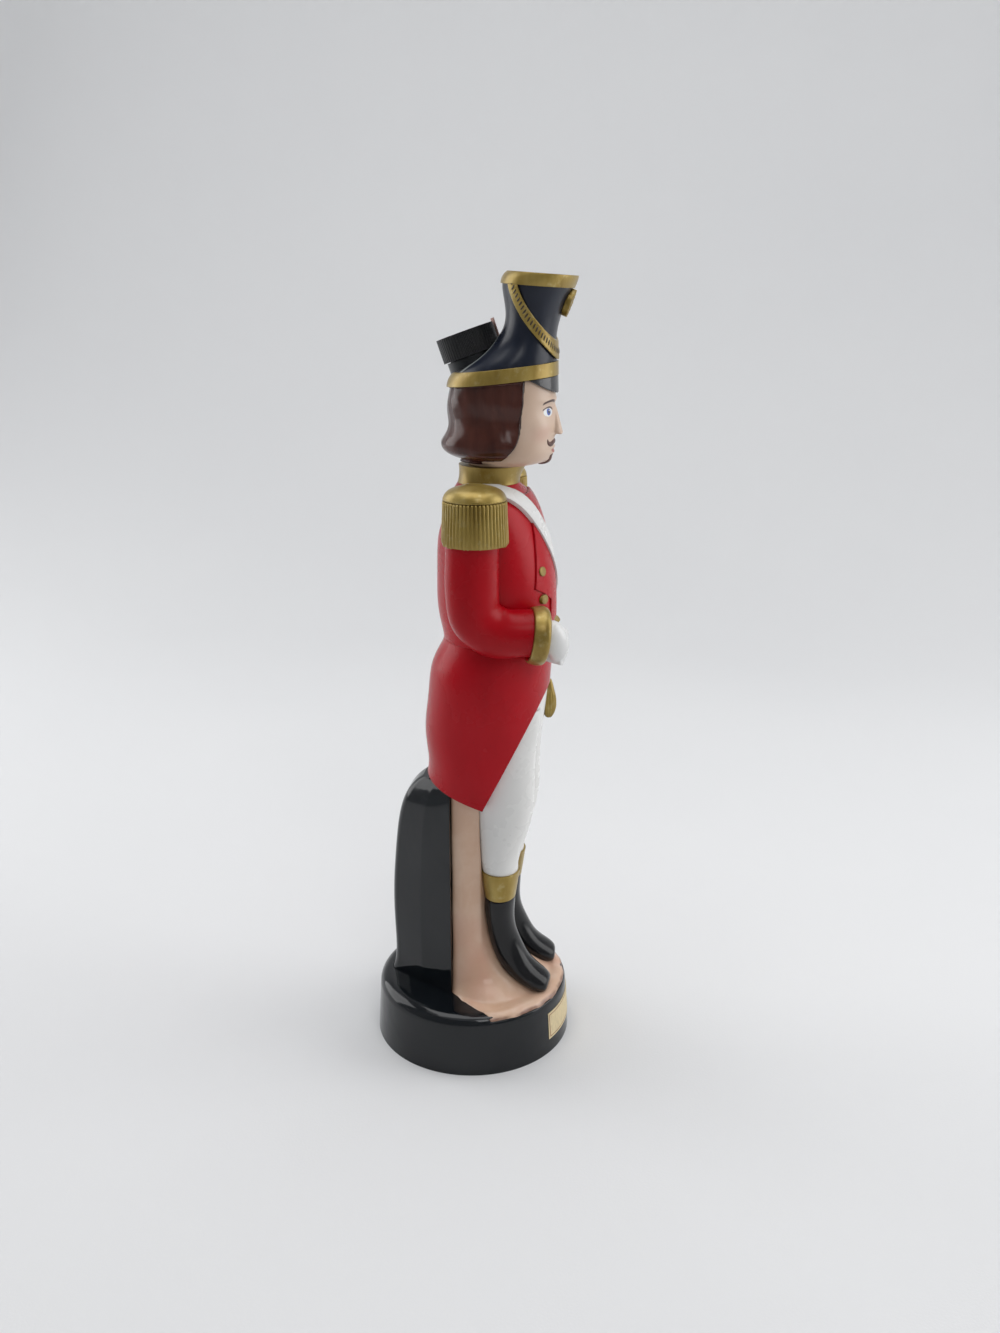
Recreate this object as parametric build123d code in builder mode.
from build123d import *
import math
import os

# Figural liquor decanter: a standing soldier in a red tail coat and a flared shako.
# The figure is one slip-cast and glazed bottle. Each modelled and painted section of it
# is a solid of its own here, and the sections meet face to face round one hollow.
# Millimetres. Z is up, the soldier faces -Y, and the origin is the middle of the foot.

# Round base
base_diameter = 94.2
base_height = 29.3
base_taper = 1.8
base_shoulder = 5.5
foot_recess = 1.5
foot_ring_width = 7.0
base_roof = 2.4
wall = 4.0

# Ground that the soldier stands on, and the web that joins the legs to the stump
ground_seat_depth = 4.5
ground_margin = 2.4
ground_rim_drop = 1.6
web_back_width = 40.4
web_front_width = 35.6
web_front = 9.0
web_front_side = 6.8

# Stump behind the legs
stump_front = 6.5
stump_back = 39.6
stump_width = 51.0
stump_middle_width = 34.0
stump_back_width = 13.0
stump_height = 103.2
stump_corner = 5.5

# Stacked heights of the figure, from the base up
boot_height = 47.4
boot_cuff_height = 13.4
breeches_height = 111.4
coat_height = 68.5
collar_height = 7.8
hat_foot_rise = 35.1
hat_height = 43.0

# How far the figure's axis stands in front of the middle of the base
figure_lead = 12.0

# Legs
leg_spacing = 22.4
leg_width = 21.4
leg_depth = 30.0
boot_width = 16.6
boot_depth = 13.0
boot_reach = 24.0
boot_drop = 42.7
toe_out = 7.0
cuff_relief = 0.8
hip_width = 57.5
hip_depth = 52.0

# Coat
coat_width = 62.0
coat_depth = 52.0
tail_width = 61.5
tail_depth = 57.0
hem_back_rise = 105.2
hem_front_rise = 95.7
hem_run = 26.0
tail_edge_slope = 2.0
tail_edge_back = 9.0
tail_root = 1.0
panel_relief = 0.7
panel_width = 40.0
panel_neck_width = 25.0
panel_waist_width = 18.0
panel_foot_rise = 9.5
panel_flare_rise = 19.5
panel_chest_rise = 26.0
sleeve_gap = 0.15
belt_width = 8.5
belt_relief = 0.8
belt_drop = 68.0
belt_run = 48.5
belt_shoulder = 20.0
belt_back = 8.0
button_diameter = 4.2
button_relief = 1.3
button_pitch = 12.3
button_spacing = 31.0
lowest_button_rise = 20.6

# Arms
arm_spread = 34.0
arm_setback = 5.4
arm_width = 22.0
arm_depth = 22.4
arm_top_drop = 3.5
elbow_bend = 14.0
elbow_rise = 23.1
elbow_steps = 4
forearm_length = 12.0
forearm_width = 20.5
forearm_height = 22.5
arm_turn_in = 17.0
right_elbow_angle = 83.0
left_elbow_angle = 45.0
cuff_length = 7.5
cuff_seat_gap = 0.05
cuff_width = 24.0
cuff_height = 25.5
hand_length = 16.0
hand_thickness = 12.5
hand_height = 17.0
hand_droop = 17.0
finger_diameter = 4.6
finger_length = 8.0
finger_count = 4

# Epaulettes
epaulette_width = 25.0
epaulette_depth = 26.6
epaulette_lead = 1.2
fringe_length = 18.6
fringe_flare = 0.7
pad_height = 6.4

# Collar, head and hair
collar_width = 28.5
collar_depth = 28.5
head_height = 46.0
head_width = 39.0
head_depth = 42.0
nose_reach = 3.4
nose_width = 6.5
nose_height = 13.0
hair_width = 43.5
hair_depth = 49.0
beard_relief = 0.7
moustache_width = 17.0
moustache_height = 4.2
goatee_width = 7.0
goatee_height = 7.5

# Shako
hat_width = 45.0
hat_depth = 46.0
hat_foot_tilt = 6.2
hat_wall = 3.5
rim_round = 1.2
lower_band_height = 5.6
top_band_height = 5.0
band_relief = 0.8
visor_drop = 7.2
visor_relief = 1.2
visor_run = 12.5
hat_foot_lift = 2.6
braid_width = 4.4
braid_relief = 1.0
cockade_width = 9.0
cockade_height = 11.5
cockade_thickness = 1.2
cockade_root = 4.4
cockade_lean = 21.0

# Bottle neck, cap and seal
neck_tilt = 19.5
neck_setback = 9.2
neck_rise = 7.1
bead_diameter = 22.4
bead_height = 3.2
bore_diameter = 14.0
neck_finish_height = 7.8
neck_finish_diameter = 19.5
neck_foot_depth = 3.0
bore_depth = 18.0
cap_diameter = 24.9
cap_height = 10.0
cap_wall = 1.5
cap_gap = 0.3
cap_rib_count = 60
cap_rib_depth = 0.35
liner_thickness = 0.7
well_gap = 1.2
thread_pitch = 3.2
thread_width = 1.2
thread_depth = 0.9
thread_sink = 0.3
thread_start = 1.3
neck_thread_turns = 1.5
cap_thread_turns = 1.25
strip_thickness = 0.4
strip_drop = 4.0
strip_height = 10.8
strip_offset = 5.5
strip_reach = 3.6

# Sword at the left hip
scabbard_width = 8.0
scabbard_thickness = 5.0
scabbard_length = 76.0
sword_lean = 33.5
sword_splay = 6.5
hilt_diameter = 5.6
hilt_length = 26.0
guard_length = 16.0
guard_width = 5.0
guard_thickness = 2.0
knot_diameter = 7.0
knot_length = 19.0
knot_cord = 1.8
knot_side = 14.0
knot_lead = 22.6
knot_rise = 86.3

# Paper label on the front of the base
label_angle = 60.0
label_height = 13.6
label_foot = 7.0
label_thickness = 0.25

# One reach for every cutting shape
far = 400.0

# Rise, width, reach to the front and reach to the back, from the figure's axis
torso_shares = [
    (0.00, 0.90, 0.500, 0.456),
    (0.12, 0.92, 0.500, 0.485),
    (0.24, 0.945, 0.500, 0.505),
    (0.48, 0.985, 0.470, 0.503),
    (0.72, 1.03, 0.395, 0.475),
    (0.86, 1.02, 0.325, 0.420),
    (0.95, 0.82, 0.245, 0.365),
    (1.00, 0.52, 0.190, 0.325),
]
tail_shares = [
    (0.00, 0.85, 0.330, 0.567),
    (0.14, 0.88, 0.335, 0.570),
    (0.34, 0.93, 0.376, 0.571),
    (0.57, 0.98, 0.417, 0.561),
    (0.73, 1.00, 0.426, 0.537),
    (0.84, 0.99, 0.437, 0.508),
    (0.94, 0.96, 0.449, 0.442),
]
hip_shares = [
    (0.48, 0.59, 0.270, 0.385),
    (0.57, 0.86, 0.370, 0.490),
    (0.67, 0.96, 0.420, 0.540),
    (0.80, 0.99, 0.450, 0.550),
    (0.91, 0.97, 0.470, 0.490),
    (1.00, 0.93, 0.474, 0.425),
]
leg_shares = [
    (0.00, 0.85, 0.388, 0.177),
    (0.11, 0.89, 0.458, 0.233),
    (0.25, 0.97, 0.600, 0.283),
    (0.38, 1.00, 0.633, 0.350),
    (0.56, 1.04, 0.660, 0.467),
    (0.72, 1.04, 0.700, 0.533),
]
chest_hollow_shares = [
    (0.00, 0.90, 0.500, 0.456),
    (0.24, 0.945, 0.500, 0.505),
    (0.48, 0.985, 0.470, 0.503),
    (0.70, 0.90, 0.370, 0.450),
    (0.86, 0.60, 0.270, 0.360),
    (1.00, 0.42, 0.195, 0.290),
    (1.22, 0.42, 0.200, 0.285),
]
collar_shares = [
    (0.00, 1.00, 0.350, 0.596),
    (0.45, 0.96, 0.375, 0.572),
    (0.80, 0.98, 0.420, 0.572),
    (1.00, 1.01, 0.445, 0.575),
]
head_shares = [
    (0.00, 0.66, 0.321, 0.286),
    (0.035, 0.76, 0.485, 0.300),
    (0.10, 0.86, 0.565, 0.320),
    (0.25, 0.93, 0.590, 0.355),
    (0.38, 0.98, 0.598, 0.370),
    (0.50, 1.00, 0.600, 0.380),
    (0.62, 1.00, 0.599, 0.384),
    (0.74, 1.00, 0.595, 0.385),
    (0.86, 0.99, 0.588, 0.380),
    (0.98, 0.97, 0.580, 0.370),
]
# Up the nose: rise, width and reach
nose_shares = [
    (0.00, 1.00, 1.00),
    (0.45, 0.70, 0.55),
    (1.00, 0.50, 0.05),
]
nose_foot_share = 0.29
nose_root_share = 0.57
hair_shares = [
    (0.03, 0.78, 0.350, 0.370),
    (0.11, 0.97, 0.480, 0.435),
    (0.21, 1.06, 0.535, 0.480),
    (0.31, 1.005, 0.545, 0.455),
    (0.42, 0.99, 0.545, 0.440),
    (0.54, 0.985, 0.545, 0.428),
    (0.66, 0.985, 0.545, 0.422),
    (0.78, 0.985, 0.545, 0.418),
    (0.90, 0.985, 0.545, 0.415),
]
# Down the hair's front edge: reach and rise
hair_edge_shares = [
    (0.298, 0.830),
    (0.278, 0.585),
    (0.267, 0.461),
    (0.255, 0.324),
    (0.231, 0.241),
    (0.182, 0.159),
    (0.096, 0.076),
    (-0.020, 0.000),
]
# Along the moustache, out from the middle: run and rise
mouth_rise_share = 0.19
moustache_shares = [
    (0.28, 0.55),
    (0.50, -0.10),
    (0.26, -0.25),
]
goatee_rise_share = 0.48
# The last share in a row is how much of the foot's tilt the section has
hat_shares = [
    (0.00, 1.00, 0.556, 0.446, 1.0),
    (0.13, 0.96, 0.554, 0.390, 1.0),
    (0.26, 0.86, 0.548, 0.190, 0.6),
    (0.44, 0.74, 0.548, -0.035, 0.0),
    (0.70, 0.77, 0.612, -0.080, -0.35),
    (1.00, 0.86, 0.722, -0.118, -0.65),
]
crown_hollow_shares = [
    (0.05, 0.68, 0.540, 0.050, 0.0),
    (0.26, 0.70, 0.548, 0.000, 0.0),
    (0.44, 0.72, 0.548, -0.070, 0.0),
    (0.70, 0.75, 0.612, -0.085, -0.35),
    (0.90, 0.79, 0.680, -0.100, -0.55),
]
# Rise, front width, middle width, back width and reach to the back
stump_shares = [
    (0.00, 1.00, 1.00, 1.00, 1.000),
    (0.33, 0.97, 0.98, 0.98, 0.962),
    (0.62, 0.96, 0.97, 0.98, 0.922),
    (0.85, 0.95, 0.96, 0.97, 0.830),
    (0.93, 0.91, 0.90, 0.94, 0.740),
    (1.00, 0.80, 0.78, 0.90, 0.560),
]
# Rise, width, front and back, for the hollow of the stump, from the stump's own front
stump_hollow_shares = [
    (-0.10, 0.62, 0.32, 0.70),
    (0.33, 0.60, 0.32, 0.68),
    (0.62, 0.58, 0.32, 0.63),
    (0.85, 0.56, 0.32, 0.48),
    (0.97, 0.54, 0.32, 0.32),
    (1.22, 0.52, 0.32, 0.24),
]
# Rise, then how much of the base's outline is left at the front and at the sides
flare_shares = [
    (0.00, 0.96, 0.95),
    (0.035, 0.80, 0.61),
    (0.09, 0.54, 0.32),
    (0.17, 0.275, 0.13),
    (0.30, 0.093, 0.035),
    (0.50, 0.017, 0.010),
    (1.00, 0.000, 0.000),
]
# Along the boot: reach, drop, turn from level in degrees, width and thickness
boot_shares = [
    (0.00, 0.00, 0.0, 1.00, 1.00),
    (0.00, 0.28, 0.0, 0.92, 0.98),
    (0.09, 0.54, 16.0, 0.86, 1.02),
    (0.27, 0.76, 40.0, 0.90, 1.04),
    (0.56, 0.93, 62.0, 0.98, 0.86),
    (0.82, 1.01, 74.0, 0.92, 0.70),
    (0.99, 1.05, 80.0, 0.58, 0.44),
]
# Up the upper arm from the elbow: rise and size
upper_arm_shares = [
    (1.00, 0.42),
    (0.95, 0.74),
    (0.84, 0.94),
    (0.55, 1.00),
    (0.00, 1.00),
]
cuff_shares = [
    (0.00, 0.94),
    (0.45, 1.00),
    (0.80, 0.99),
    (1.00, 0.86),
]
# Along the hand: inward, forward, turn in degrees and size
hand_shares = [
    (0.00, 0.00, 0.0, 0.72),
    (0.04, 0.14, 18.0, 0.90),
    (0.14, 0.26, 36.0, 1.00),
    (0.30, 0.35, 52.0, 0.96),
    (0.46, 0.40, 62.0, 0.68),
]
# The row of the hand that its fingers lie across, and how far they spread over it
finger_row = 3
finger_spread_share = 0.92
# The braid's middle line on the hat: back from the front's line, and rise
braid_shares = [
    (0.180, 0.96),
    (0.200, 0.86),
    (0.324, 0.607),
    (0.520, 0.350),
    (0.640, 0.180),
]
# Down the sword knot: drop and size
knot_shares = [
    (0.00, 0.30),
    (0.18, 0.62),
    (0.45, 0.92),
    (0.66, 1.00),
    (0.86, 0.78),
    (1.00, 0.32),
]
cockade_reach_share = 0.655
cockade_rise_share = 0.72
curl_shares = {"right": 1.0, "left": 0.35}
fringe_waist_share = 0.33
thread_crest_share = 0.5
scabbard_tip_share = 0.67
ground_rim_share = 0.94
ground_bend_share = 0.085
pad_shares = [
    (0.00, 1.00),
    (0.40, 0.93),
    (0.78, 0.66),
    (1.00, 0.28),
]


def oval(level, width, front, back, middle=0.0):
    """One level oval, from its width and its front and back ends on the Y axis."""
    with BuildSketch(Plane.XY.offset(level)) as section:
        with Locations((middle, (front + back) / 2)):
            Ellipse(width / 2, (back - front) / 2)
    return section.sketch


def oval_stack(foot, rise, width, depth, shares, grow=0.0, middle=0.0):
    """Level ovals for a loft, one from each row of shares, larger all round by grow."""
    sections = []
    for rise_share, width_share, front_share, back_share in shares:
        level = foot + (rise + grow) * rise_share
        front = -figure_lead - depth * front_share - grow
        back = -figure_lead + depth * back_share + grow
        sections.append(oval(level, width * width_share + grow * 2, front, back, middle))
    return sections


def tilted_plane(y, z, degrees):
    """A plane whose normal leans back from upright by so many degrees."""
    lean = math.radians(degrees)
    return Plane(origin=(0, y, z), x_dir=(1, 0, 0), z_dir=(0, math.sin(lean), math.cos(lean)))


def hat_stack(shares, grow=0.0):
    """Tilted ovals of the shako for a loft, larger all round by grow."""
    sections = []
    for rise_share, width_share, front_share, back_share, tilt_share in shares:
        front = -figure_lead - hat_depth * front_share - grow
        back = -figure_lead + hat_depth * back_share + grow
        level = hat_foot_level + hat_height * rise_share
        with BuildSketch(tilted_plane((front + back) / 2, level, hat_foot_tilt * tilt_share)) as section:
            Ellipse(hat_width * width_share / 2 + grow, (back - front) / 2)
        sections.append(section.sketch)
    return sections


def ground_outline(level, front_left, side_left):
    """The pink ground's outline: the web's own, pulled out towards the base's rim."""
    back_half = web_back_width / 2 + (stump_width / 2 - web_back_width / 2) * side_left
    rim_x = web_front_width / 2 + (ground_rim_x - web_front_width / 2) * side_left
    rim_y = -web_front_side - (ground_rim_y - web_front_side) * side_left
    front = -web_front - (ground_radius - web_front) * front_left
    bend_x = (back_half + rim_x) / 2 + (stump_front - rim_y) * ground_bend_share
    bend_y = (stump_front + rim_y) / 2 + (rim_x - back_half) * ground_bend_share
    with BuildSketch(Plane.XY.offset(level)) as outline:
        with BuildLine():
            Line((-back_half, stump_front), (back_half, stump_front))
            ThreePointArc((back_half, stump_front), (bend_x, bend_y), (rim_x, rim_y))
            ThreePointArc((rim_x, rim_y), (0, front), (-rim_x, rim_y))
            ThreePointArc((-rim_x, rim_y), (-bend_x, bend_y), (-back_half, stump_front))
        make_face()
    return outline.sketch


def stump_section(level, front_half, middle_half, back_half, back):
    """One wedge-shaped section of the stump with a rounded back."""
    middle = (stump_front + back) / 2
    with BuildSketch(Plane.XY.offset(level)) as section:
        with BuildLine():
            Polyline(
                (-front_half, stump_front),
                (front_half, stump_front),
                (middle_half, middle),
                (back_half, back),
                (-back_half, back),
                (-middle_half, middle),
                close=True,
            )
        make_face()
        back_corners = section.vertices().group_by(Axis.Y)[1:]
        fillet([corner for pair in back_corners for corner in pair], radius=stump_corner)
    return section.sketch


def limb_section(origin, forward, degrees, width, thickness):
    """An oval across a limb that runs down at 0 degrees and along forward at 90."""
    turn = math.radians(degrees)
    along = forward * math.sin(turn) + Vector(0, 0, -1) * math.cos(turn)
    sideways = Vector(-forward.Y, forward.X, 0)
    with BuildSketch(Plane(origin=origin, x_dir=sideways, z_dir=along)) as section:
        Ellipse(width / 2, thickness / 2)
    return section.sketch


def arm_frame(side):
    """The start of the elbow's bend and the level direction in which the arm points."""
    turn = math.radians(arm_turn_in)
    start = Vector(side * arm_spread, arm_setback - figure_lead, waist_level + elbow_rise)
    forward = Vector(-side * math.sin(turn), -math.cos(turn), 0)
    return start, forward


def arm_point(side, elbow_angle, distance):
    """A point on the forearm's axis, so far past the elbow's bend, and its direction."""
    start, forward = arm_frame(side)
    bend = math.radians(elbow_angle)
    along = forward * math.sin(bend) + Vector(0, 0, -1) * math.cos(bend)
    corner = start + forward * (elbow_bend * (1 - math.cos(bend)))
    corner = corner - Vector(0, 0, 1) * (elbow_bend * math.sin(bend))
    return corner + along * distance, along


def sleeve_sections(side, elbow_angle):
    """Ovals down the upper arm, round the elbow and along the forearm."""
    start, forward = arm_frame(side)
    upper_length = shoulder_level - arm_top_drop - start.Z
    sections = []
    for rise_share, size_share in upper_arm_shares:
        place = start + Vector(0, 0, 1) * (upper_length * rise_share)
        sections.append(limb_section(place, forward, 0, arm_width * size_share, arm_depth * size_share))
    for step in range(1, elbow_steps + 1):
        bend_share = step / elbow_steps
        place = arm_point(side, elbow_angle * bend_share, 0)[0]
        width = arm_width + (forearm_width - arm_width) * bend_share
        depth = arm_depth + (forearm_height - arm_depth) * bend_share
        sections.append(limb_section(place, forward, elbow_angle * bend_share, width, depth))
    place = arm_point(side, elbow_angle, forearm_length)[0]
    sections.append(limb_section(place, forward, elbow_angle, forearm_width, forearm_height))
    return sections


def cuff_sections(side, elbow_angle):
    """Ovals of the bell cuff, from the sleeve's end outwards."""
    forward = arm_frame(side)[1]
    sections = []
    for run_share, size_share in cuff_shares:
        run = cuff_seat_gap + (cuff_length - cuff_seat_gap) * run_share
        place = arm_point(side, elbow_angle, forearm_length + run)[0]
        width = cuff_width * size_share
        sections.append(limb_section(place, forward, elbow_angle, width, cuff_height * size_share))
    return sections


def hand_place(side, elbow_angle, curl, shares):
    """A place in the gloved hand, the way the hand heads there, and its upright."""
    wrist, along = arm_point(side, elbow_angle, forearm_length + cuff_length)
    forward = arm_frame(side)[1]
    inward = Vector(forward.Y * side, -forward.X * side, 0)
    inward_share, forward_share, degrees = shares[:3]
    turn = math.radians(degrees * curl)
    place = wrist + inward * (hand_length * inward_share * curl)
    place = place + along * (hand_length * (forward_share + inward_share * (1 - curl)))
    place = place - Vector(0, 0, 1) * (hand_droop * inward_share * curl)
    heading = along * math.cos(turn) + inward * math.sin(turn)
    return place, heading, along.cross(inward) * side


def hand_sections(side, elbow_angle, curl):
    """Ovals of the gloved hand, which curls inwards out of the cuff."""
    sections = []
    for shares in hand_shares:
        place, heading, upright = hand_place(side, elbow_angle, curl, shares)
        size_share = shares[3]
        with BuildSketch(Plane(origin=place, x_dir=upright, z_dir=heading)) as section:
            Ellipse(hand_height / 2 * size_share, hand_thickness / 2 * size_share)
        sections.append(section.sketch)
    return sections


def finger_places(side, elbow_angle, curl):
    """Planes in the middle of the four fingers, which lie across the end of the hand."""
    place, heading, upright = hand_place(side, elbow_angle, curl, hand_shares[finger_row])
    across = upright.cross(heading)
    step = hand_height * finger_spread_share / finger_count
    places = []
    for number in range(finger_count):
        spot = place + upright * (step * (number - (finger_count - 1) / 2))
        places.append(Plane(origin=spot, x_dir=upright, z_dir=across))
    return places


def leg_sections(side):
    """Level ovals of one trouser leg."""
    sections = []
    middle = side * leg_spacing / 2
    for rise_share, width_share, front_share, back_share in leg_shares:
        level = breeches_level + breeches_height * rise_share
        front = -figure_lead - leg_depth * front_share
        back = -figure_lead + leg_depth * back_share
        sections.append(oval(level, leg_width * width_share, front, back, middle))
    return sections


def boot_sections(side):
    """Ovals from the top of the boot down and out to the toe."""
    turn = math.radians(toe_out)
    forward = Vector(side * math.sin(turn), -math.cos(turn), 0)
    top = Vector(side * leg_spacing / 2, boot_middle, boot_cuff_level)
    sections = []
    for reach_share, drop_share, degrees, width_share, thickness_share in boot_shares:
        place = top + forward * (boot_reach * reach_share) - Vector(0, 0, 1) * (boot_drop * drop_share)
        width = boot_width * width_share
        sections.append(limb_section(place, forward, degrees, width, boot_depth * thickness_share))
    return sections


def thread_ridge(radius, turns, lift, start_turn, outward):
    """A helical ridge on the neck's axis, which stands outwards or inwards from radius."""
    crest = thread_depth if outward else -thread_depth
    root = -thread_sink if outward else thread_sink
    crest_half = thread_width / 2 * thread_crest_share
    with BuildPart() as ridge:
        with BuildLine():
            path = Helix(pitch=thread_pitch, height=thread_pitch * turns, radius=radius)
        with BuildSketch(Plane(origin=path @ 0, x_dir=(1, 0, 0), z_dir=path % 0)):
            with BuildLine():
                Polyline(
                    (root, -thread_width / 2),
                    (crest, -crest_half),
                    (crest, crest_half),
                    (root, thread_width / 2),
                    close=True,
                )
            make_face()
        sweep(path=path, is_frenet=True)
    turned = ridge.part.rotate(Axis.Z, start_turn)
    return neck_plane.location * Location((0, 0, lift)) * turned


base_radius = base_diameter / 2
boot_cuff_level = base_height + boot_height
breeches_level = boot_cuff_level + boot_cuff_height
waist_level = breeches_level + breeches_height
shoulder_level = waist_level + coat_height
chin_level = shoulder_level + collar_height
hat_foot_level = chin_level + hat_foot_rise
hat_top_level = hat_foot_level + hat_height

# Hollow: the one space inside the bottle, made first as solid forms

with BuildPart() as base_hollow:
    with BuildSketch(Plane.XY.offset(foot_recess + wall)):
        Circle(base_radius - wall - base_taper)
    extrude(amount=base_height - ground_seat_depth - base_roof - foot_recess - wall)

with BuildPart() as stump_hollow:
    hollow_sections = []
    for rise_share, width_share, front_share, back_share in stump_hollow_shares:
        hollow_sections.append(oval(
            base_height + stump_height * rise_share,
            stump_width * width_share,
            stump_front - (stump_back - stump_front) * front_share,
            stump_front + (stump_back - stump_front) * back_share,
        ))
    loft(hollow_sections)

with BuildPart() as hip_hollow:
    loft(oval_stack(breeches_level, breeches_height + wall, hip_width, hip_depth, hip_shares, grow=-wall))

with BuildPart() as chest_hollow:
    loft(oval_stack(waist_level, coat_height + wall, coat_width, coat_depth,
                    chest_hollow_shares, grow=-wall))

with BuildPart() as head_hollow:
    loft(oval_stack(chin_level, head_height + wall, head_width, head_depth, head_shares[2:], grow=-wall))

with BuildPart() as crown_hollow:
    loft(hat_stack(crown_hollow_shares, grow=-hat_wall))

neck_plane = tilted_plane(neck_setback - figure_lead, hat_foot_level + neck_rise, neck_tilt)
cap_radius = cap_diameter / 2
cap_foot = bead_height + cap_gap
neck_top = bead_height + neck_finish_height
neck_radius = neck_finish_diameter / 2

with BuildPart() as bore:
    with BuildSketch(neck_plane.offset(-bore_depth)):
        Circle(bore_diameter / 2)
    extrude(amount=bore_depth + neck_top)

with BuildPart() as cap_well:
    with BuildSketch(neck_plane):
        Circle(cap_radius + well_gap)
    extrude(amount=hat_height)


def cut_hollow(*spaces):
    """Take the named spaces out of the piece that is being built."""
    for space in spaces:
        add(space.part, mode=Mode.SUBTRACT)


# Forms: the outer shapes of sections that their neighbours are cut by

ground_radius = base_radius - ground_margin
ground_rim_x = ground_radius * ground_rim_share
ground_rim_y = math.sqrt(ground_radius ** 2 - ground_rim_x ** 2)
ground_seat_level = base_height - ground_seat_depth
ground_edge_level = base_height - ground_rim_drop
web_top_level = base_height + hem_back_rise

with BuildPart() as ground_form:
    flare_foot = ground_edge_level - ground_rim_drop
    loft([
        ground_outline(flare_foot + (web_top_level - flare_foot) * rise_share, front_left, side_left)
        for rise_share, front_left, side_left in flare_shares
    ])
    add(ground_outline(ground_seat_level, 1, 1))
    extrude(amount=ground_edge_level - ground_seat_level)

with BuildPart() as stump_form:
    loft([
        stump_section(
            base_height + stump_height * rise_share,
            stump_width / 2 * front_share,
            stump_middle_width / 2 * middle_share,
            stump_back_width / 2 * tip_share,
            stump_back * back_share,
        )
        for rise_share, front_share, middle_share, tip_share, back_share in stump_shares
    ])

hem_level = base_height + hem_front_rise
hem_slope = math.degrees(math.atan2(hem_back_rise - hem_front_rise, hem_run))
hem_plane = tilted_plane(-tail_edge_back, hem_level, -hem_slope)
edge_plane = tilted_plane(-tail_edge_back, hem_level, math.degrees(math.atan(tail_edge_slope)))

with BuildPart() as tail_form:
    tail_foot = hem_level - tail_root
    tail_sections = oval_stack(tail_foot, waist_level - tail_foot, tail_width, tail_depth, tail_shares)
    waist_sections = oval_stack(waist_level, coat_height, coat_width, coat_depth, torso_shares[:1])
    loft(tail_sections + waist_sections)
    split(bisect_by=hem_plane, keep=Keep.TOP)
    split(bisect_by=edge_plane, keep=Keep.TOP)

with BuildPart() as breeches_form:
    loft(oval_stack(breeches_level, breeches_height, hip_width, hip_depth, hip_shares))
    for side in (-1, 1):
        loft(leg_sections(side))

with BuildPart() as torso_form:
    loft(oval_stack(waist_level, coat_height, coat_width, coat_depth, torso_shares))

with BuildPart() as collar_form:
    loft(oval_stack(shoulder_level, collar_height, collar_width, collar_depth, collar_shares))

with BuildPart() as head_form:
    loft(oval_stack(chin_level, head_height, head_width, head_depth, head_shares))

hat_foot_middle = hat_depth * (hat_shares[0][3] - hat_shares[0][2]) / 2 - figure_lead
hat_foot_plane = tilted_plane(hat_foot_middle, hat_foot_level, hat_foot_tilt)

with BuildPart() as hat_form:
    loft(hat_stack(hat_shares))
    fillet(hat_form.faces().sort_by(Axis.Z)[-1].edges(), radius=rim_round)

os.makedirs("parts", exist_ok=True)

# Base, ground and stump

with BuildPart() as base_plinth:
    with BuildSketch(Plane.XZ) as plinth_profile:
        with BuildLine():
            Polyline(
                (0, foot_recess),
                (base_radius - foot_ring_width, foot_recess),
                (base_radius - foot_ring_width, 0),
                (base_radius, 0),
                (base_radius - base_taper, base_height),
                (0, base_height),
                close=True,
            )
        make_face()
        top_corner = plinth_profile.vertices().group_by(Axis.Y)[-1].sort_by(Axis.X)[-1]
        fillet(top_corner, radius=base_shoulder)
    revolve(axis=Axis.Z)
    add(ground_form.part, mode=Mode.SUBTRACT)
    cut_hollow(base_hollow, stump_hollow)
base_plinth.part.label = "base_plinth"
export_step(base_plinth.part, "parts/base_plinth.step")

with BuildPart() as stump:
    add(stump_form.part)
    add(tail_form.part, mode=Mode.SUBTRACT)
    cut_hollow(stump_hollow, hip_hollow)
stump.part.label = "stump"
export_step(stump.part, "parts/stump.step")

# Legs and boots

boot_middle = -figure_lead - leg_depth * (leg_shares[0][2] - leg_shares[0][3]) / 2
boots = {}
boot_cuffs = {}
for side_name, side in (("right", -1), ("left", 1)):
    with BuildPart() as boots[side_name]:
        loft(boot_sections(side))
        split(bisect_by=Plane.XY.offset(ground_edge_level), keep=Keep.TOP)
    boots[side_name].part.label = side_name + "_boot"
    export_step(boots[side_name].part, "parts/" + side_name + "_boot.step")

    with BuildPart() as boot_cuffs[side_name]:
        knee_back = -figure_lead + leg_depth * leg_shares[0][3] + cuff_relief
        knee_front = -figure_lead - leg_depth * leg_shares[0][2] - cuff_relief
        knee_width = leg_width * leg_shares[0][1] + cuff_relief * 2
        loft([
            oval(boot_cuff_level, boot_width + cuff_relief * 2, boot_middle - boot_depth / 2 - cuff_relief,
                 boot_middle + boot_depth / 2 + cuff_relief, side * leg_spacing / 2),
            oval(breeches_level, knee_width, knee_front, knee_back, side * leg_spacing / 2),
        ])
    boot_cuffs[side_name].part.label = side_name + "_boot_cuff"
    export_step(boot_cuffs[side_name].part, "parts/" + side_name + "_boot_cuff.step")

with BuildPart() as breeches:
    add(breeches_form.part)
    cut_hollow(stump_hollow, hip_hollow)
breeches.part.label = "breeches"
export_step(breeches.part, "parts/breeches.step")

with BuildPart() as ground:
    add(ground_form.part)
    split(bisect_by=Plane.XZ.offset(-stump_front), keep=Keep.TOP)
    add(tail_form.part, mode=Mode.SUBTRACT)
    add(breeches_form.part, mode=Mode.SUBTRACT)
    for side_name in boots:
        add(boots[side_name].part, mode=Mode.SUBTRACT)
        add(boot_cuffs[side_name].part, mode=Mode.SUBTRACT)
    cut_hollow(stump_hollow, hip_hollow)
ground.part.label = "ground"
export_step(ground.part, "parts/ground.step")

# Coat

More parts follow.
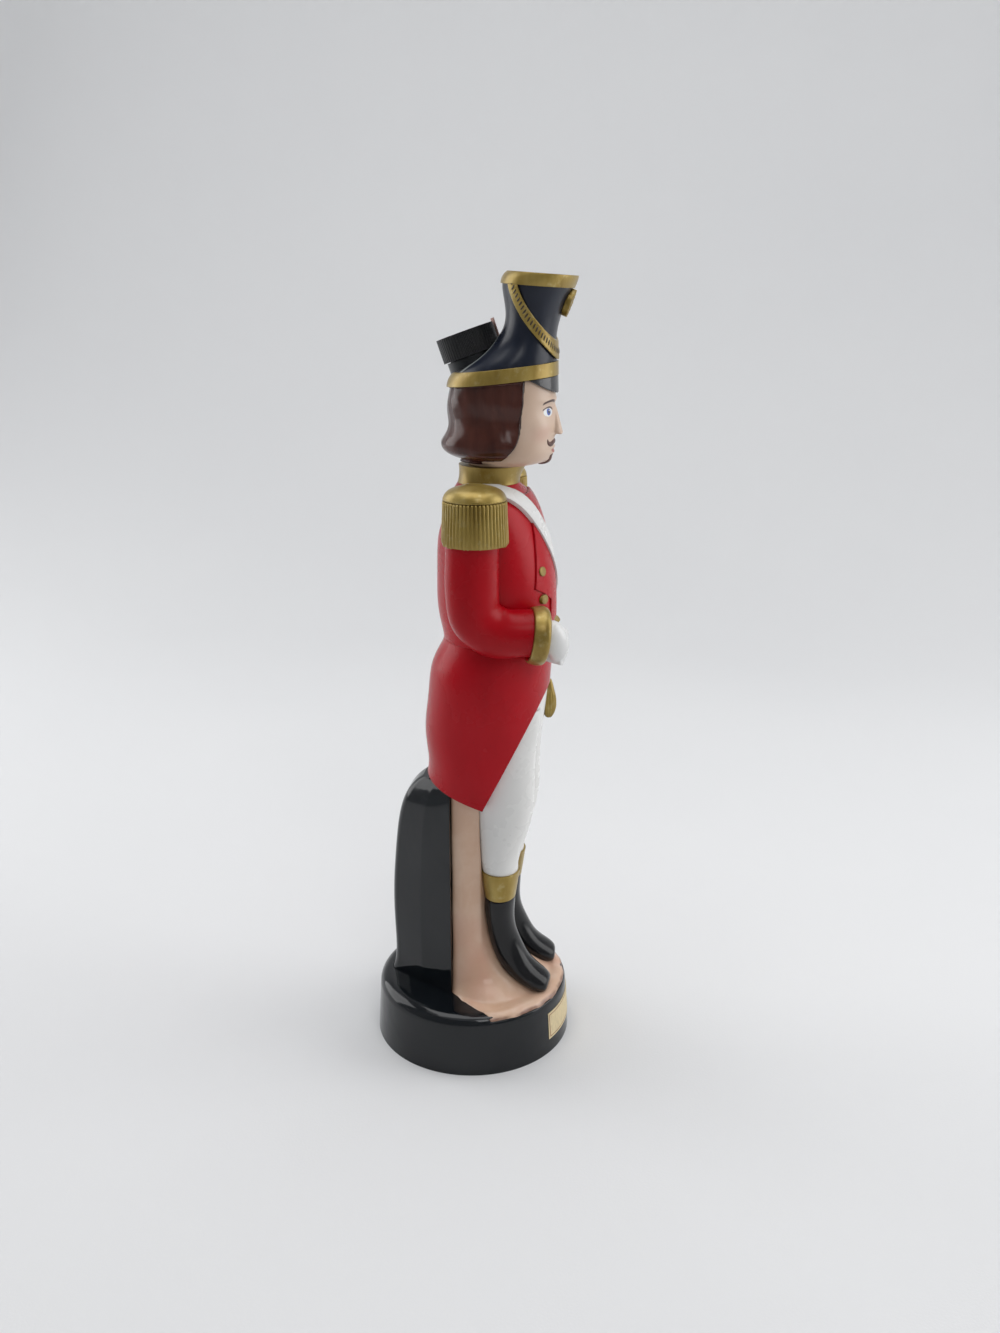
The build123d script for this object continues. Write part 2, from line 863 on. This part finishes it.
with BuildPart() as coat_tails:
    add(tail_form.part)
    add(breeches_form.part, mode=Mode.SUBTRACT)
    cut_hollow(stump_hollow, hip_hollow)
coat_tails.part.label = "coat_tails"
export_step(coat_tails.part, "parts/coat_tails.step")

with BuildPart() as coat_body:
    add(torso_form.part)
    cut_hollow(chest_hollow)
coat_body.part.label = "coat_body"
export_step(coat_body.part, "parts/coat_body.step")

with BuildPart() as coat_front:
    loft(oval_stack(waist_level, coat_height, coat_width, coat_depth, torso_shares, grow=panel_relief))
    with BuildSketch(Plane.XZ.offset(figure_lead)):
        Polygon(
            (panel_waist_width / 2, waist_level + panel_foot_rise),
            (panel_waist_width / 2, waist_level + panel_flare_rise),
            (panel_width / 2, waist_level + panel_chest_rise),
            (panel_neck_width / 2, shoulder_level - collar_height / 2),
            (-panel_neck_width / 2, shoulder_level - collar_height / 2),
            (-panel_width / 2, waist_level + panel_chest_rise),
            (-panel_waist_width / 2, waist_level + panel_flare_rise),
            (-panel_waist_width / 2, waist_level + panel_foot_rise),
            align=None,
        )
    extrude(amount=far, mode=Mode.INTERSECT)
    add(torso_form.part, mode=Mode.SUBTRACT)
coat_front.part.label = "coat_front"
export_step(coat_front.part, "parts/coat_front.step")

belt_middle = Plane(
    origin=(-belt_shoulder, 0, shoulder_level),
    x_dir=(0, 1, 0),
    z_dir=(belt_drop, 0, belt_run),
)
belt_edge = belt_middle.offset(-belt_width / 2 - sleeve_gap)
with BuildPart() as shoulder_belt:
    loft(oval_stack(waist_level, coat_height, coat_width, coat_depth, torso_shares,
                    grow=panel_relief + belt_relief))
    split(bisect_by=belt_middle.offset(-belt_width / 2), keep=Keep.TOP)
    split(bisect_by=belt_middle.offset(belt_width / 2), keep=Keep.BOTTOM)
    split(bisect_by=Plane.XZ.offset(-belt_back), keep=Keep.TOP)
    add(torso_form.part, mode=Mode.SUBTRACT)
    add(coat_front.part, mode=Mode.SUBTRACT)
    add(collar_form.part, mode=Mode.SUBTRACT)
    for elbow_angle in (0, left_elbow_angle):
        place, along = arm_point(1, elbow_angle, 0)
        width = (cuff_width if elbow_angle else arm_width) + sleeve_gap * 2
        depth = (cuff_height if elbow_angle else arm_depth) + sleeve_gap * 2
        reach = limb_section(place, arm_frame(1)[1], elbow_angle, width, depth)
        extrude(reach, amount=coat_height, both=True, mode=Mode.SUBTRACT)
shoulder_belt.part.label = "shoulder_belt"
export_step(shoulder_belt.part, "parts/shoulder_belt.step")

with BuildPart() as collar:
    add(collar_form.part)
    cut_hollow(chest_hollow)
collar.part.label = "collar"
export_step(collar.part, "parts/collar.step")

# Arms, cuffs, gloves and epaulettes

elbow_angles = {"right": right_elbow_angle, "left": left_elbow_angle}
sides = {"right": -1, "left": 1}
splay = math.radians(sword_splay)
lean = math.radians(sword_lean)
sword_down = Vector(
    math.sin(splay),
    math.sin(lean) * math.cos(splay),
    -math.cos(lean) * math.cos(splay),
)
grip_middle = hand_place(1, left_elbow_angle, curl_shares["left"], hand_shares[finger_row])[0]
hilt_plane = Plane(origin=grip_middle - sword_down * (hilt_length / 2), x_dir=(0, 1, 1), z_dir=sword_down)
with BuildPart() as hilt_form:
    with BuildSketch(hilt_plane):
        Circle(hilt_diameter / 2)
    extrude(amount=hilt_length)
    with BuildSketch(hilt_plane.offset(hilt_length)):
        SlotOverall(guard_length, guard_width)
    extrude(amount=guard_thickness)

sleeves = {}
cuffs = {}
gloves = {}
pads = {}
fringes = {}
for side_name, side in sides.items():
    elbow_angle = elbow_angles[side_name]
    with BuildPart() as sleeves[side_name]:
        loft(sleeve_sections(side, elbow_angle))
        add(torso_form.part, mode=Mode.SUBTRACT)
        add(tail_form.part, mode=Mode.SUBTRACT)
    sleeves[side_name].part.label = side_name + "_sleeve"
    export_step(sleeves[side_name].part, "parts/" + side_name + "_sleeve.step")

    with BuildPart() as cuffs[side_name]:
        loft(cuff_sections(side, elbow_angle))
        add(torso_form.part, mode=Mode.SUBTRACT)
        add(tail_form.part, mode=Mode.SUBTRACT)
    cuffs[side_name].part.label = side_name + "_cuff"
    export_step(cuffs[side_name].part, "parts/" + side_name + "_cuff.step")

    with BuildPart() as gloves[side_name]:
        loft(hand_sections(side, elbow_angle, curl_shares[side_name]))
        for place in finger_places(side, elbow_angle, curl_shares[side_name]):
            with BuildSketch(place):
                Circle(finger_diameter / 2)
            extrude(amount=finger_length / 2, both=True)
        wrist, along = arm_point(side, elbow_angle, forearm_length + cuff_length)
        split(bisect_by=Plane(origin=wrist, z_dir=along), keep=Keep.TOP)
        add(torso_form.part, mode=Mode.SUBTRACT)
        add(tail_form.part, mode=Mode.SUBTRACT)
        add(breeches_form.part, mode=Mode.SUBTRACT)
        if side_name == "left":
            add(hilt_form.part, mode=Mode.SUBTRACT)
    gloves[side_name].part.label = side_name + "_glove"
    export_step(gloves[side_name].part, "parts/" + side_name + "_glove.step")

    fringe_middle = arm_setback - figure_lead - epaulette_lead
    fringe_top = shoulder_level - arm_top_drop + rim_round
    with BuildPart() as fringes[side_name]:
        loft([
            oval(fringe_top - fringe_length, epaulette_width + fringe_flare * 2,
                 fringe_middle - epaulette_depth / 2 - fringe_flare,
                 fringe_middle + epaulette_depth / 2 + fringe_flare, side * arm_spread),
            oval(fringe_top - fringe_length * fringe_waist_share, epaulette_width,
                 fringe_middle - epaulette_depth / 2,
                 fringe_middle + epaulette_depth / 2, side * arm_spread),
            oval(fringe_top, epaulette_width - fringe_flare * 2,
                 fringe_middle - epaulette_depth / 2 + fringe_flare,
                 fringe_middle + epaulette_depth / 2 - fringe_flare, side * arm_spread),
        ])
        arm_start, forward = arm_frame(side)
        reach = limb_section(arm_start, forward, 0, arm_width + sleeve_gap * 2, arm_depth + sleeve_gap * 2)
        extrude(reach, amount=coat_height, both=True, mode=Mode.SUBTRACT)
        add(torso_form.part, mode=Mode.SUBTRACT)
        split(bisect_by=belt_edge, keep=Keep.BOTTOM if side < 0 else Keep.TOP)
    fringes[side_name].part.label = side_name + "_epaulette_fringe"
    export_step(fringes[side_name].part, "parts/" + side_name + "_epaulette_fringe.step")

    with BuildPart() as pads[side_name]:
        loft([
            oval(fringe_top + pad_height * rise_share, epaulette_width * size_share,
                 fringe_middle - epaulette_depth / 2 * size_share,
                 fringe_middle + epaulette_depth / 2 * size_share, side * arm_spread)
            for rise_share, size_share in pad_shares
        ])
        add(torso_form.part, mode=Mode.SUBTRACT)
        split(bisect_by=belt_edge, keep=Keep.BOTTOM if side < 0 else Keep.TOP)
    pads[side_name].part.label = side_name + "_epaulette_pad"
    export_step(pads[side_name].part, "parts/" + side_name + "_epaulette_pad.step")

# Head, hair and beard

nose_level = chin_level + head_height * nose_foot_share
nose_root = -figure_lead - head_depth * nose_root_share
face_front = -figure_lead - head_depth * max(front_share for rise, width, front_share, back in head_shares)

with BuildPart() as face_form:
    add(head_form.part)
    loft([
        oval(nose_level + nose_height * rise_share, nose_width * width_share,
             face_front - nose_reach * reach_share, nose_root)
        for rise_share, width_share, reach_share in nose_shares
    ])

with BuildPart() as head:
    add(face_form.part)
    split(bisect_by=hat_foot_plane, keep=Keep.BOTTOM)
    cut_hollow(chest_hollow, head_hollow, bore)
head.part.label = "head"
export_step(head.part, "parts/head.step")

with BuildPart() as hair:
    loft(oval_stack(chin_level, head_height, hair_width, hair_depth, hair_shares))
    split(bisect_by=hat_foot_plane, keep=Keep.BOTTOM)
    with BuildSketch(Plane.YZ):
        with BuildLine():
            edge = Spline([
                (-figure_lead - hair_depth * reach_share, chin_level + head_height * rise_share)
                for reach_share, rise_share in hair_edge_shares
            ])
            Polyline(edge @ 1, (hair_depth, chin_level), (hair_depth, hat_top_level), edge @ 0)
        make_face()
    extrude(amount=hair_width, both=True, mode=Mode.INTERSECT)
    add(face_form.part, mode=Mode.SUBTRACT)
    add(collar_form.part, mode=Mode.SUBTRACT)
    add(torso_form.part, mode=Mode.SUBTRACT)
    cut_hollow(bore)
hair.part.label = "hair"
export_step(hair.part, "parts/hair.step")

mouth_level = chin_level + head_height * mouth_rise_share
with BuildPart() as moustache:
    loft(oval_stack(chin_level, head_height, head_width, head_depth, head_shares, grow=beard_relief))
    with BuildSketch(Plane.XZ.offset(figure_lead)):
        for side in (-1, 1):
            middle = (0, mouth_level + moustache_height)
            top, tip, foot = [
                (side * moustache_width * run_share, mouth_level + moustache_height * rise_share)
                for run_share, rise_share in moustache_shares
            ]
            with BuildLine():
                Line((0, mouth_level), middle)
                ThreePointArc(middle, top, tip)
                ThreePointArc(tip, foot, (0, mouth_level))
            make_face()
    extrude(amount=far, mode=Mode.INTERSECT)
    add(face_form.part, mode=Mode.SUBTRACT)
moustache.part.label = "moustache"
export_step(moustache.part, "parts/moustache.step")

with BuildPart() as goatee:
    loft(oval_stack(chin_level, head_height, head_width, head_depth, head_shares, grow=beard_relief))
    with BuildSketch(Plane.XZ.offset(figure_lead)):
        with Locations((0, chin_level + goatee_height * goatee_rise_share)):
            Ellipse(goatee_width / 2, goatee_height / 2)
    extrude(amount=far, mode=Mode.INTERSECT)
    add(face_form.part, mode=Mode.SUBTRACT)
    split(bisect_by=Plane.XY.offset(chin_level), keep=Keep.TOP)
goatee.part.label = "goatee"
export_step(goatee.part, "parts/goatee.step")

# Shako, its bands, visor, braid and cockade

with BuildPart() as neck_form:
    with BuildSketch(neck_plane.offset(-neck_foot_depth)):
        Circle(bead_diameter / 2)
    extrude(amount=neck_foot_depth + bead_height)
    with BuildSketch(neck_plane.offset(bead_height)):
        Circle(neck_radius)
    extrude(amount=neck_finish_height)

with BuildPart() as shako:
    add(hat_form.part)
    add(cap_well.part, mode=Mode.SUBTRACT)
    add(neck_form.part, mode=Mode.SUBTRACT)
    cut_hollow(crown_hollow, head_hollow, bore)
shako.part.label = "shako"
export_step(shako.part, "parts/shako.step")

top_middle = hat_depth * (hat_shares[-1][3] - hat_shares[-1][2]) / 2 - figure_lead
hat_top_plane = tilted_plane(top_middle, hat_top_level, hat_foot_tilt * hat_shares[-1][4])

with BuildPart() as lower_band:
    loft(hat_stack(hat_shares, grow=band_relief))
    split(bisect_by=hat_foot_plane.offset(lower_band_height), keep=Keep.BOTTOM)
    add(hat_form.part, mode=Mode.SUBTRACT)
    add(cap_well.part, mode=Mode.SUBTRACT)
    add(neck_form.part, mode=Mode.SUBTRACT)
lower_band.part.label = "shako_lower_band"
export_step(lower_band.part, "parts/shako_lower_band.step")

with BuildPart() as top_band:
    loft(hat_stack(hat_shares, grow=band_relief))
    split(bisect_by=hat_top_plane.offset(-top_band_height), keep=Keep.TOP)
    add(hat_form.part, mode=Mode.SUBTRACT)
top_band.part.label = "shako_top_band"
export_step(top_band.part, "parts/shako_top_band.step")

visor_front = face_front - visor_relief / 2
visor_lean = math.degrees(math.atan2(visor_drop, visor_run))
visor_edge_plane = tilted_plane(visor_front, hat_foot_level + hat_foot_lift - visor_drop, -visor_lean)
with BuildPart() as visor:
    loft(oval_stack(chin_level, head_height, head_width, head_depth, head_shares, grow=visor_relief))
    split(bisect_by=hat_foot_plane, keep=Keep.BOTTOM)
    split(bisect_by=visor_edge_plane, keep=Keep.TOP)
    add(face_form.part, mode=Mode.SUBTRACT)
visor.part.label = "visor"
export_step(visor.part, "parts/visor.step")

with BuildPart() as braid:
    loft(hat_stack(hat_shares, grow=braid_relief))
    with BuildSketch(Plane.YZ):
        with BuildLine():
            Spline([
                (-figure_lead - hat_depth * back_share, hat_foot_level + hat_height * rise_share)
                for back_share, rise_share in braid_shares
            ])
        trace(line_width=braid_width)
    extrude(amount=hat_width, both=True, mode=Mode.INTERSECT)
    split(bisect_by=hat_top_plane.offset(-top_band_height), keep=Keep.BOTTOM)
    add(hat_form.part, mode=Mode.SUBTRACT)
braid.part.label = "shako_braid"
export_step(braid.part, "parts/shako_braid.step")

with BuildPart() as cockade:
    cockade_front = -figure_lead - hat_depth * cockade_reach_share - cockade_thickness
    cockade_plane = Plane(
        origin=(0, cockade_front, hat_foot_level + hat_height * cockade_rise_share),
        x_dir=(1, 0, 0),
        z_dir=(0, -math.cos(math.radians(cockade_lean)), -math.sin(math.radians(cockade_lean))),
    )
    with BuildSketch(cockade_plane):
        Ellipse(cockade_width / 2, cockade_height / 2)
    extrude(amount=-cockade_thickness - cockade_root)
    add(hat_form.part, mode=Mode.SUBTRACT)
cockade.part.label = "cockade"
export_step(cockade.part, "parts/cockade.step")

# Bottle neck, screw cap, liner and the rest of the tax strip

thread_foot = bead_height + thread_start
neck_thread = thread_ridge(neck_radius, neck_thread_turns, thread_foot, 0, True)
with BuildPart() as bottle_neck:
    add(neck_form.part)
    cut_hollow(bore)
    add(neck_thread)
bottle_neck.part.label = "bottle_neck"
export_step(bottle_neck.part, "parts/bottle_neck.step")

cap_inner_radius = cap_radius - cap_wall
cap_inner_top = cap_foot + cap_height - cap_wall
cap_thread = thread_ridge(cap_inner_radius, cap_thread_turns, thread_foot + thread_pitch / 2, 0, False)
with BuildPart() as screw_cap:
    with BuildSketch(neck_plane.offset(cap_foot)):
        Circle(cap_radius)
        with PolarLocations(cap_radius, cap_rib_count):
            Circle(cap_rib_depth, mode=Mode.SUBTRACT)
    extrude(amount=cap_height)
    with BuildSketch(neck_plane.offset(cap_foot)):
        Circle(cap_inner_radius)
    extrude(amount=cap_height - cap_wall, mode=Mode.SUBTRACT)
    add(cap_thread)
screw_cap.part.label = "screw_cap"
export_step(screw_cap.part, "parts/screw_cap.step")

with BuildPart() as cap_liner:
    with BuildSketch(neck_plane.offset(cap_inner_top - liner_thickness)):
        Circle(cap_inner_radius - sleeve_gap)
    extrude(amount=liner_thickness)
cap_liner.part.label = "cap_liner"
export_step(cap_liner.part, "parts/cap_liner.step")

with BuildPart() as tax_strip:
    with BuildSketch(neck_plane.offset(strip_drop)):
        Circle(cap_radius + well_gap)
        Circle(cap_radius + well_gap - strip_thickness, mode=Mode.SUBTRACT)
        with Locations((strip_offset, -cap_radius)):
            Rectangle(strip_reach, cap_radius, mode=Mode.INTERSECT)
    extrude(amount=strip_height)
tax_strip.part.label = "tax_strip"
export_step(tax_strip.part, "parts/tax_strip.step")

# Buttons on the coat's front. The belt covers one of the four

with BuildPart() as button_skin:
    loft(oval_stack(waist_level, coat_height, coat_width, coat_depth, torso_shares, grow=button_relief))

button_spots = [(-1, 0), (-1, 1), (1, 1)]
with BuildPart() as coat_buttons:
    for side, row in button_spots:
        with BuildSketch(Plane.XZ.offset(figure_lead)):
            rise = lowest_button_rise + button_pitch * row
            with Locations((side * button_spacing / 2, waist_level + rise)):
                Circle(button_diameter / 2)
        extrude(amount=coat_depth)
    add(button_skin.part, mode=Mode.INTERSECT)
    add(torso_form.part, mode=Mode.SUBTRACT)
    add(coat_front.part, mode=Mode.SUBTRACT)
coat_buttons.part.label = "coat_buttons"
export_step(coat_buttons.part, "parts/coat_buttons.step")

# Paper label on the base

label_foot_radius = base_radius - base_taper * label_foot / base_height
label_top_radius = base_radius - base_taper * (label_foot + label_height) / base_height
label_half = math.radians(label_angle / 2)
label_plane = Plane(
    origin=(0, 0, 0),
    x_dir=(-math.sin(label_half), -math.cos(label_half), 0),
    z_dir=(-math.cos(label_half), math.sin(label_half), 0),
)
with BuildPart() as front_label:
    with BuildSketch(label_plane):
        with BuildLine():
            Polyline(
                (label_foot_radius, label_foot),
                (label_foot_radius + label_thickness, label_foot),
                (label_top_radius + label_thickness, label_foot + label_height),
                (label_top_radius, label_foot + label_height),
                close=True,
            )
        make_face()
    revolve(axis=Axis.Z, revolution_arc=label_angle)
front_label.part.label = "front_label"
export_step(front_label.part, "parts/front_label.step")

# Sword at the left hip

with BuildPart() as sword_hilt:
    add(hilt_form.part)
    add(breeches_form.part, mode=Mode.SUBTRACT)
    add(torso_form.part, mode=Mode.SUBTRACT)
    add(tail_form.part, mode=Mode.SUBTRACT)
sword_hilt.part.label = "sword_hilt"
export_step(sword_hilt.part, "parts/sword_hilt.step")

with BuildPart() as scabbard:
    scabbard_plane = hilt_plane.offset(hilt_length + guard_thickness)
    with BuildSketch(scabbard_plane):
        Ellipse(scabbard_width / 2, scabbard_thickness / 2)
    with BuildSketch(scabbard_plane.offset(scabbard_length)):
        Ellipse(scabbard_width / 2 * scabbard_tip_share, scabbard_thickness / 2 * scabbard_tip_share)
    loft()
    add(breeches_form.part, mode=Mode.SUBTRACT)
    add(tail_form.part, mode=Mode.SUBTRACT)
scabbard.part.label = "scabbard"
export_step(scabbard.part, "parts/scabbard.step")

knot_top = Vector(knot_side, -figure_lead - knot_lead, breeches_level + knot_rise)
with BuildPart() as sword_knot:
    loft([
        oval(knot_top.Z - knot_length * drop_share, knot_diameter * size_share,
             knot_top.Y - knot_diameter / 2 * size_share, knot_top.Y + knot_diameter / 2 * size_share,
             knot_side)
        for drop_share, size_share in knot_shares
    ])
    cord = hilt_plane.offset(hilt_length).origin - knot_top
    with BuildSketch(Plane(origin=knot_top - Vector(0, 0, knot_cord), z_dir=cord)):
        Circle(knot_cord / 2)
    extrude(amount=cord.length - guard_thickness)
    add(breeches_form.part, mode=Mode.SUBTRACT)
    add(tail_form.part, mode=Mode.SUBTRACT)
    add(sword_hilt.part, mode=Mode.SUBTRACT)
    add(scabbard.part, mode=Mode.SUBTRACT)
sword_knot.part.label = "sword_knot"
export_step(sword_knot.part, "parts/sword_knot.step")
